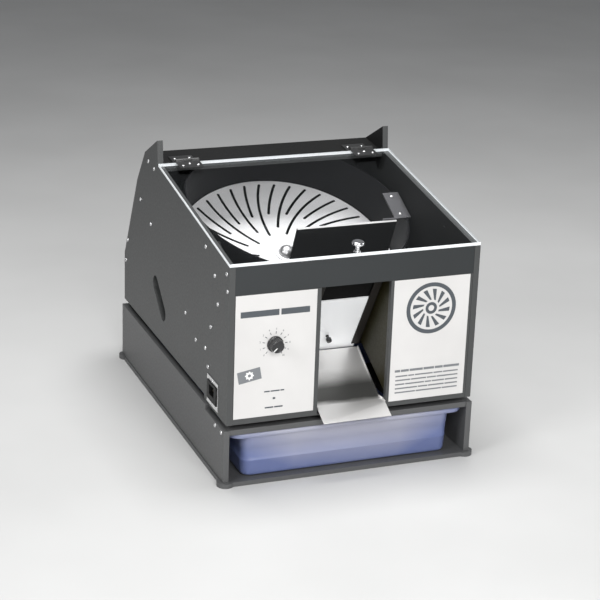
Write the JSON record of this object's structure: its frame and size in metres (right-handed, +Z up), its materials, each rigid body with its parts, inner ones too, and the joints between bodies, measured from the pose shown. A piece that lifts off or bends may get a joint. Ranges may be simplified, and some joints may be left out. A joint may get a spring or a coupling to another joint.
{
  "type": "bench-top dry trimming machine",
  "caption": "Black sheet-plastic bench machine with a clear hinged lid over a tilted slotted turntable, a front discharge door with chute, and a pull-out trim tub in its base.",
  "frame": {"origin": "centre of the plan of the whole machine, on the underside of the bottom plate", "axes": "+Z up, front with the discharge opening and controls faces -Y, +X to the right seen from the front"},
  "size_m": [0.536, 0.743, 0.5595],
  "materials": {
    "base_sheet": "satin",
    "foot_rubber": "matt",
    "tub_plastic": "translucent satin",
    "side_sheet": "satin, finely grained",
    "inner_sheet": "satin",
    "header_sheet": "satin",
    "screw_steel": "satin",
    "placard": "semi-gloss",
    "door_sheet": "semi-gloss",
    "knob_plastic": "gloss",
    "guide_plastic": "satin",
    "passage_sheet": "satin",
    "chute_steel": "satin",
    "table_steel": "satin",
    "chrome_parts": "polished",
    "shaft_steel": "ground",
    "pulley_aluminium": "machined",
    "ring_sheet": "satin",
    "bracket_aluminium": "brushed",
    "blade_steel": "ground",
    "beam_paint": "powder coat",
    "bearing_iron": "as cast",
    "motor_paint": "semi-gloss",
    "belt_rubber": "matt",
    "control_plastic": "satin",
    "inlet_metal": "bright",
    "pin_brass": "bright",
    "lid_clear": "clear sheet, polished edges",
    "hinge_black": "satin"
  },
  "bodies": {
    "frame": {"base_bottom_plate": "base_sheet", "base_side_left": "base_sheet", "base_side_right": "base_sheet", "base_back": "base_sheet", "base_front_rail": "base_sheet", "base_rear_rail": "base_sheet", "housing_feet": "foot_rubber", "side_panel_left": "side_sheet", "side_panel_right": "side_sheet", "back_panel_lower": "side_sheet", "back_panel_middle": "side_sheet", "back_panel_upper": "side_sheet", "rear_top_deck": "side_sheet", "front_panel": "side_sheet", "housing_floor": "inner_sheet", "front_wall": "inner_sheet", "deck_plate": "inner_sheet", "front_header": "header_sheet", "side_screws": "screw_steel", "base_screws": "screw_steel", "placard_left": "placard", "placard_right": "placard", "door_guide_left": "guide_plastic", "door_guide_right": "guide_plastic", "passage_wall_left": "passage_sheet", "passage_wall_right": "passage_sheet", "chute": "chute_steel", "hinge_pins": "shaft_steel", "shroud_ring": "ring_sheet", "blade_bar": "blade_steel", "blades": "blade_steel", "drive_beam": "beam_paint", "bearing_block": "bearing_iron", "gear_motor": "motor_paint", "drive_belt": "belt_rubber", "speed_control": "control_plastic", "motor_controller": "control_plastic", "lid_sensor": "control_plastic", "inlet_body": "control_plastic", "inlet_plate": "inlet_metal", "inlet_pins": "pin_brass", "deck_hinge_leaves": "hinge_black"},
    "tub": {"collection_tub": "tub_plastic"},
    "lid": {"lid_panel": "lid_clear", "lid_knob": "chrome_parts", "lid_hinge_leaves": "hinge_black"},
    "door": {"exit_door": "door_sheet", "door_knob": "knob_plastic"},
    "table_rotor": {"slotted_table": "table_steel", "hub_cap": "chrome_parts", "hub_knob": "knob_plastic", "drive_shaft": "shaft_steel", "driven_pulley": "pulley_aluminium"},
    "motor_rotor": {"motor_shaft": "shaft_steel", "motor_pulley": "pulley_aluminium"},
    "dial": {"dial_knob": "knob_plastic"},
    "diverter": {"diverter_plate": "inner_sheet", "diverter_bracket": "bracket_aluminium"}
  },
  "joints": [
    {"name": "lid_hinge", "type": "hinge", "parent": "frame", "child": "lid", "pos_m": [0, 0.1185, 0.5155], "axis": [-1, 0, 0], "range_deg": [0, 104]},
    {"name": "exit_door_slide", "type": "slide", "parent": "frame", "child": "door", "axis": [0, -0.521, 0.8536], "range_m": [0, 0.085]},
    {"name": "tub_slide", "type": "slide", "parent": "frame", "child": "tub", "axis": [0, -1, 0], "range_m": [0, 0.42]},
    {"name": "table_spin", "type": "hinge", "parent": "frame", "child": "table_rotor", "pos_m": [0, 0.0365, 0.3253], "axis": [0, -0.4226, 0.9063], "continuous": true},
    {"name": "motor_spin", "type": "hinge", "parent": "frame", "child": "motor_rotor", "pos_m": [0, 0.17061, 0.32164], "axis": [0, -0.4226, 0.9063], "continuous": true},
    {"name": "speed_dial_turn", "type": "hinge", "parent": "frame", "child": "dial", "pos_m": [-0.162, -0.3475, 0.283], "axis": [0, -1, 0], "range_deg": [-280, 0]},
    {"name": "diverter_lift", "type": "slide", "parent": "frame", "child": "diverter", "axis": [0, -0.4226, 0.9063], "range_m": [0, 0.045]}
  ],
  "couplings": [
    {"joint": "motor_spin", "follows": "table_spin", "ratio": 2.5}
  ]
}
